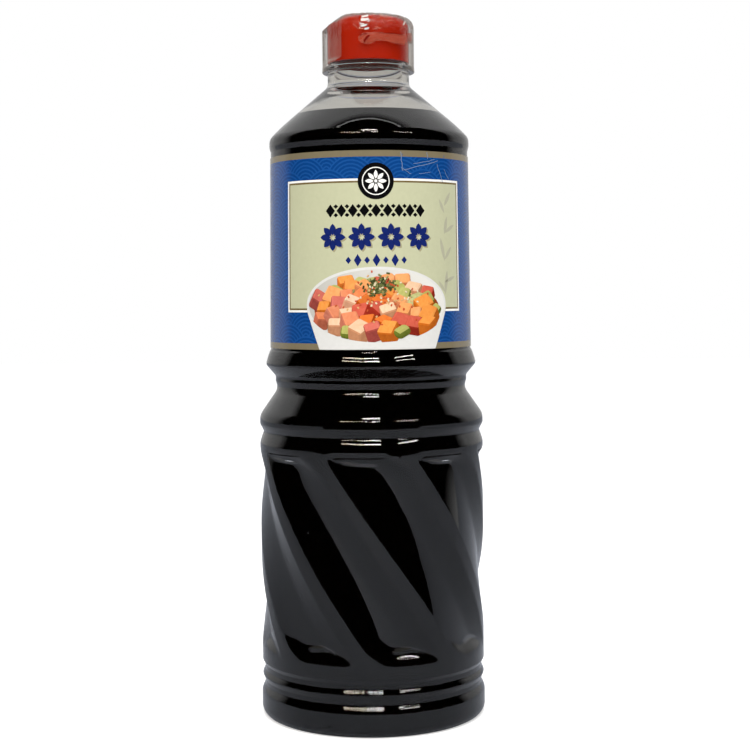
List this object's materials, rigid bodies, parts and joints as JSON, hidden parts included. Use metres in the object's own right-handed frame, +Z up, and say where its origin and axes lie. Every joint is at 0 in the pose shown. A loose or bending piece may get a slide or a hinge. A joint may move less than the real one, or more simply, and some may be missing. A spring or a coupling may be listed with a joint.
{
  "type": "sauce bottle",
  "caption": "Clear round bottle of dark sauce with spiral flutes in its lower body, a waist, a wrap label, a red cap and a clear shrink seal.",
  "frame": {"origin": "centre of the foot, on the surface the bottle stands on", "axes": "+Z up along the bottle's axis, -Y towards the middle of the front label panel, +X to the right seen from the front"},
  "size_m": [0.0836, 0.0836, 0.2593],
  "materials": {
    "clear_plastic": "clear glossy blown plastic",
    "dark_sauce": "dark brown liquid, nearly black in this depth",
    "printed_film": "satin printed film label in blue, cream and gold",
    "red_plastic": "smooth moulded red plastic",
    "clear_film": "thin clear shrink film, slightly crumpled"
  },
  "bodies": {
    "root": {"bottle": "clear_plastic", "sauce": "dark_sauce", "label": "printed_film", "cap": "red_plastic", "seal_film": "clear_film"}
  },
  "joints": []
}
